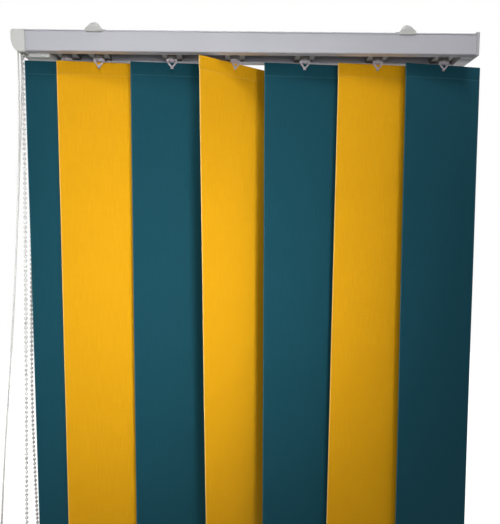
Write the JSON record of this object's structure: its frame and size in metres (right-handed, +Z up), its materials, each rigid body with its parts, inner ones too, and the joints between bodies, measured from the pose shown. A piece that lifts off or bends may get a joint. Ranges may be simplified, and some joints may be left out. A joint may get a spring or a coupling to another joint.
{
  "type": "vertical blind",
  "caption": "Vertical blind: wall-fixed open head rail with sliding carriers, clear hooks and hanging fabric vanes, tilted by a bead chain and drawn by a cord.",
  "frame": {"origin": "on the wall, in the middle of the four screw holes of the two wall brackets", "axes": "+X along the head rail towards the return end, -Y out of the wall into the room, +Z up"},
  "size_m": [0.6128, 0.0997, 1.0402],
  "materials": {
    "rail_paint": "satin powder coat, pale grey",
    "cap_plastic": "moulded, light grey",
    "carrier_plastic": "moulded, mid grey",
    "clear_plastic": "clear moulding",
    "teal_fabric": "woven, fine herringbone",
    "yellow_fabric": "woven, fine herringbone",
    "hanger_plastic": "moulded, white",
    "weight_steel": "painted",
    "spacer_steel": "bright",
    "rod_aluminium": "drawn",
    "bracket_paint": "white coat",
    "bead_plastic": "moulded beads",
    "cord_fibre": "braided"
  },
  "bodies": {
    "root": {"headrail": "rail_paint", "control_end_cap": "cap_plastic", "return_end_cap": "cap_plastic", "guide_sheave_pin": "spacer_steel", "return_sheave_pin": "spacer_steel", "wall_bracket_left": "bracket_paint", "wall_bracket_right": "bracket_paint", "rail_clip_left": "clear_plastic", "rail_clip_right": "clear_plastic", "clip_screws": "spacer_steel", "carrier_1": "carrier_plastic", "spacer_1": "spacer_steel", "tilt_chain": "bead_plastic", "draw_cord": "cord_fibre", "cord_in_rail": "cord_fibre", "cord_weight": "cap_plastic"},
    "tilt_drive": {"tilt_rod": "rod_aluminium", "chain_sprocket": "carrier_plastic"},
    "front_guide": {"guide_sheave_front": "carrier_plastic"},
    "rear_guide": {"guide_sheave_rear": "carrier_plastic"},
    "return_wheel": {"return_sheave": "carrier_plastic"},
    "truck_2": {"carrier_2": "carrier_plastic", "spacer_2": "spacer_steel"},
    "truck_3": {"carrier_3": "carrier_plastic", "spacer_3": "spacer_steel"},
    "truck_4": {"carrier_4": "carrier_plastic", "spacer_4": "spacer_steel"},
    "truck_5": {"carrier_5": "carrier_plastic", "spacer_5": "spacer_steel"},
    "truck_6": {"carrier_6": "carrier_plastic", "spacer_6": "spacer_steel"},
    "truck_7": {"carrier_7": "carrier_plastic"},
    "vane_1": {"hook_1": "clear_plastic", "slat_1": "teal_fabric", "hanger_1": "hanger_plastic", "bottom_weight_1": "weight_steel"},
    "vane_2": {"hook_2": "clear_plastic", "slat_2": "yellow_fabric", "hanger_2": "hanger_plastic", "bottom_weight_2": "weight_steel"},
    "vane_3": {"hook_3": "clear_plastic", "slat_3": "teal_fabric", "hanger_3": "hanger_plastic", "bottom_weight_3": "weight_steel"},
    "vane_4": {"hook_4": "clear_plastic", "slat_4": "yellow_fabric", "hanger_4": "hanger_plastic", "bottom_weight_4": "weight_steel"},
    "vane_5": {"hook_5": "clear_plastic", "slat_5": "teal_fabric", "hanger_5": "hanger_plastic", "bottom_weight_5": "weight_steel"},
    "vane_6": {"hook_6": "clear_plastic", "slat_6": "yellow_fabric", "hanger_6": "hanger_plastic", "bottom_weight_6": "weight_steel"},
    "vane_7": {"hook_7": "clear_plastic", "slat_7": "teal_fabric", "hanger_7": "hanger_plastic", "bottom_weight_7": "weight_steel"}
  },
  "joints": [
    {"name": "carrier_7_slide", "type": "slide", "parent": "root", "child": "truck_7", "axis": [-1, 0, 0], "range_m": [0, 0.195]},
    {"name": "carrier_2_slide", "type": "slide", "parent": "root", "child": "truck_2", "axis": [-1, 0, 0], "range_m": [0, 0.00181]},
    {"name": "carrier_3_slide", "type": "slide", "parent": "root", "child": "truck_3", "axis": [-1, 0, 0], "range_m": [0, 0.04681]},
    {"name": "carrier_4_slide", "type": "slide", "parent": "root", "child": "truck_4", "axis": [-1, 0, 0], "range_m": [0, 0.06981]},
    {"name": "carrier_5_slide", "type": "slide", "parent": "root", "child": "truck_5", "axis": [-1, 0, 0], "range_m": [0, 0.09881]},
    {"name": "carrier_6_slide", "type": "slide", "parent": "root", "child": "truck_6", "axis": [-1, 0, 0], "range_m": [0, 0.15081]},
    {"name": "vane_1_tilt", "type": "hinge", "parent": "root", "child": "vane_1", "pos_m": [-0.2245, -0.07, -0.008], "axis": [0, 0, 1], "range_deg": [0, 133]},
    {"name": "vane_2_tilt", "type": "hinge", "parent": "truck_2", "child": "vane_2", "pos_m": [-0.186, -0.07, -0.008], "axis": [0, 0, 1], "range_deg": [0, 133]},
    {"name": "vane_3_tilt", "type": "hinge", "parent": "truck_3", "child": "vane_3", "pos_m": [-0.097, -0.07, -0.008], "axis": [0, 0, 1], "range_deg": [0, 133]},
    {"name": "vane_4_tilt", "type": "hinge", "parent": "truck_4", "child": "vane_4", "pos_m": [-0.02, -0.07, -0.008], "axis": [0, 0, 1], "range_deg": [0, 133]},
    {"name": "vane_5_tilt", "type": "hinge", "parent": "truck_5", "child": "vane_5", "pos_m": [0.066, -0.07, -0.008], "axis": [0, 0, 1], "range_deg": [0, 133]},
    {"name": "vane_6_tilt", "type": "hinge", "parent": "truck_6", "child": "vane_6", "pos_m": [0.156, -0.07, -0.008], "axis": [0, 0, 1], "range_deg": [0, 133]},
    {"name": "vane_7_tilt", "type": "hinge", "parent": "truck_7", "child": "vane_7", "pos_m": [0.238, -0.07, -0.008], "axis": [0, 0, 1], "range_deg": [0, 133]},
    {"name": "tilt_rod_turn", "type": "hinge", "parent": "root", "child": "tilt_drive", "pos_m": [0, -0.064, 0.0092], "axis": [1, 0, 0], "range_deg": [0, 1064]},
    {"name": "front_guide_turn", "type": "hinge", "parent": "root", "child": "front_guide", "pos_m": [-0.272, -0.0875, 0.0095], "axis": [0, 1, 0], "continuous": true},
    {"name": "rear_guide_turn", "type": "hinge", "parent": "root", "child": "rear_guide", "pos_m": [-0.272, -0.0795, 0.0095], "axis": [0, 1, 0], "continuous": true},
    {"name": "return_sheave_turn", "type": "hinge", "parent": "root", "child": "return_wheel", "pos_m": [0.2615, -0.0835, 0.0135], "axis": [0, 0, 1], "continuous": true}
  ],
  "couplings": [
    {"joint": "carrier_2_slide", "follows": "carrier_7_slide", "ratio": 0.009231},
    {"joint": "carrier_3_slide", "follows": "carrier_7_slide", "ratio": 0.24},
    {"joint": "carrier_4_slide", "follows": "carrier_7_slide", "ratio": 0.35795},
    {"joint": "carrier_5_slide", "follows": "carrier_7_slide", "ratio": 0.50667},
    {"joint": "carrier_6_slide", "follows": "carrier_7_slide", "ratio": 0.77333},
    {"joint": "vane_2_tilt", "follows": "vane_1_tilt", "ratio": 1},
    {"joint": "vane_3_tilt", "follows": "vane_1_tilt", "ratio": 1},
    {"joint": "vane_4_tilt", "follows": "vane_1_tilt", "ratio": 1},
    {"joint": "vane_5_tilt", "follows": "vane_1_tilt", "ratio": 1},
    {"joint": "vane_6_tilt", "follows": "vane_1_tilt", "ratio": 1},
    {"joint": "vane_7_tilt", "follows": "vane_1_tilt", "ratio": 1},
    {"joint": "tilt_rod_turn", "follows": "vane_1_tilt", "ratio": 8}
  ]
}
